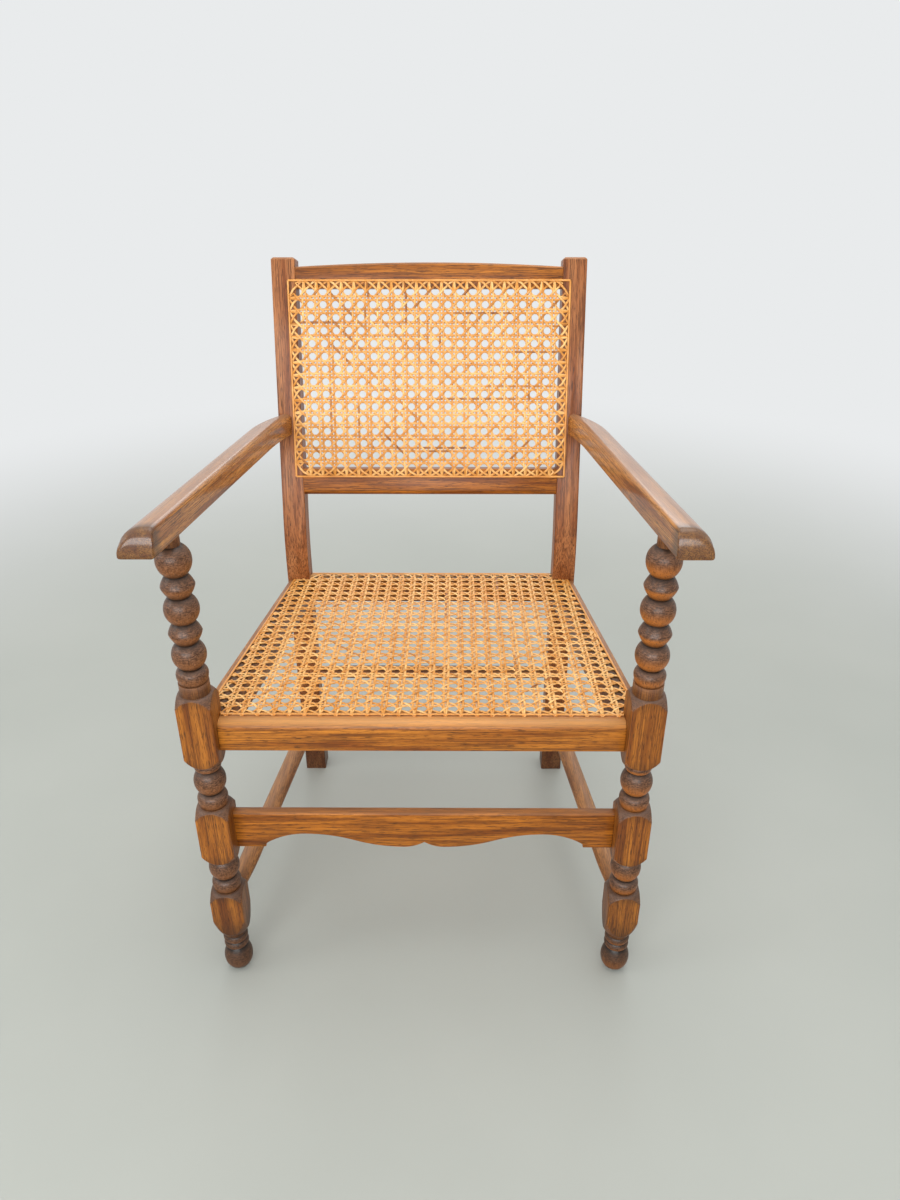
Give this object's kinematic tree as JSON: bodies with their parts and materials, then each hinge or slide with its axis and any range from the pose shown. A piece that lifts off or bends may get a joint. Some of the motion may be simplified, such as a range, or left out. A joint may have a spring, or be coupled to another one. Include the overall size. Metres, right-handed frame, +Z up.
{
  "type": "spool chair",
  "caption": "Open oak armchair with spool-turned front legs, shaped arms, a raked back, a hand-woven cane seat and back, and stretchers between the legs.",
  "frame": {"origin": "on the floor, under the middle of the chair's outline", "axes": "+Z up, +Y to the back of the chair, +X to the right as seen from the front"},
  "size_m": [0.588, 0.6204, 0.8633],
  "materials": {
    "oak": "stained and waxed, worn satin",
    "cane": "woven natural rattan skin, satin",
    "binder_cane": "flat rattan strip, satin"
  },
  "bodies": {
    "root": {"front_leg_left": "oak", "front_leg_right": "oak", "rear_post_left": "oak", "rear_post_right": "oak", "arm_left": "oak", "arm_right": "oak", "crest_rail": "oak", "back_lower_rail": "oak", "seat_rail_front": "oak", "seat_rail_left": "oak", "seat_rail_right": "oak", "seat_rail_rear": "oak", "stretcher_front": "oak", "stretcher_left": "oak", "stretcher_right": "oak", "stretcher_rear": "oak", "seat_cane": "cane", "back_cane": "cane", "seat_binder_front": "binder_cane", "seat_binder_left": "binder_cane", "seat_binder_right": "binder_cane", "seat_binder_rear": "binder_cane", "back_binder_top": "binder_cane", "back_binder_bottom": "binder_cane", "back_binder_left": "binder_cane", "back_binder_right": "binder_cane"}
  },
  "joints": []
}
